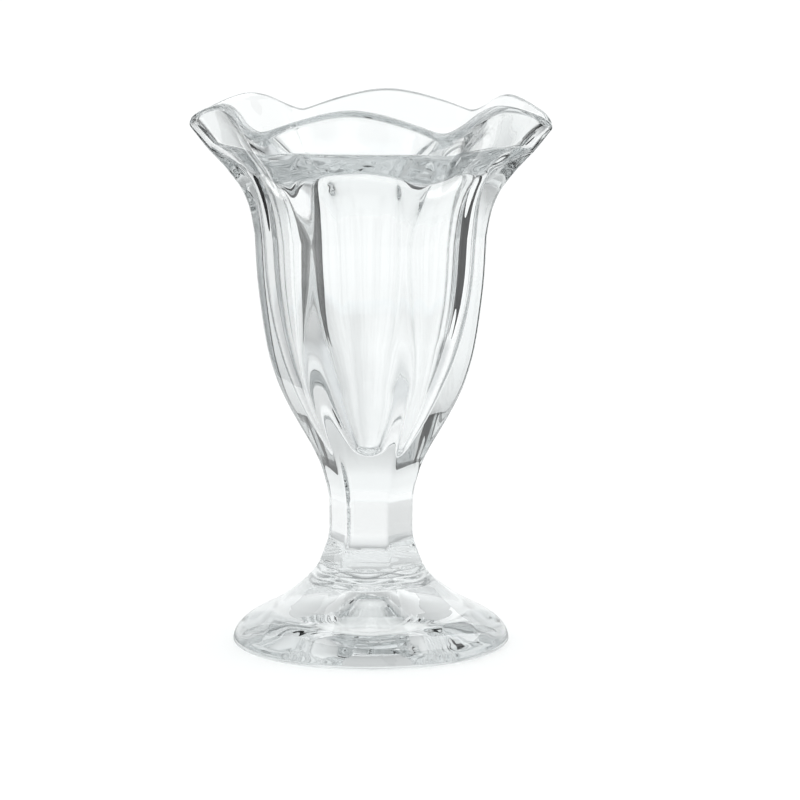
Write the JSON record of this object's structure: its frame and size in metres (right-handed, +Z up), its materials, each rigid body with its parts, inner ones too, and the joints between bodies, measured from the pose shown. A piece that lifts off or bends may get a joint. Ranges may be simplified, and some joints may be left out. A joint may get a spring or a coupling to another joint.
{
  "type": "parfait glass",
  "caption": "Clear pressed parfait glass: a scalloped, flared, panelled tulip bowl with a ledge above a round well, on a short faceted stem and a round foot hollowed underneath.",
  "frame": {"origin": "centre of the ring that the glass stands on, on the table under the axis of the glass", "axes": "+Z up along the axis of the glass; a flat panel of the bowl and stem faces -Y and a ridge faces +X"},
  "size_m": [0.0988, 0.0894, 0.15],
  "materials": {
    "clear_glass": "clear polished pressed glass with a fire-polished rim"
  },
  "bodies": {
    "root": {"bowl": "clear_glass", "stem": "clear_glass", "foot": "clear_glass"}
  },
  "joints": []
}
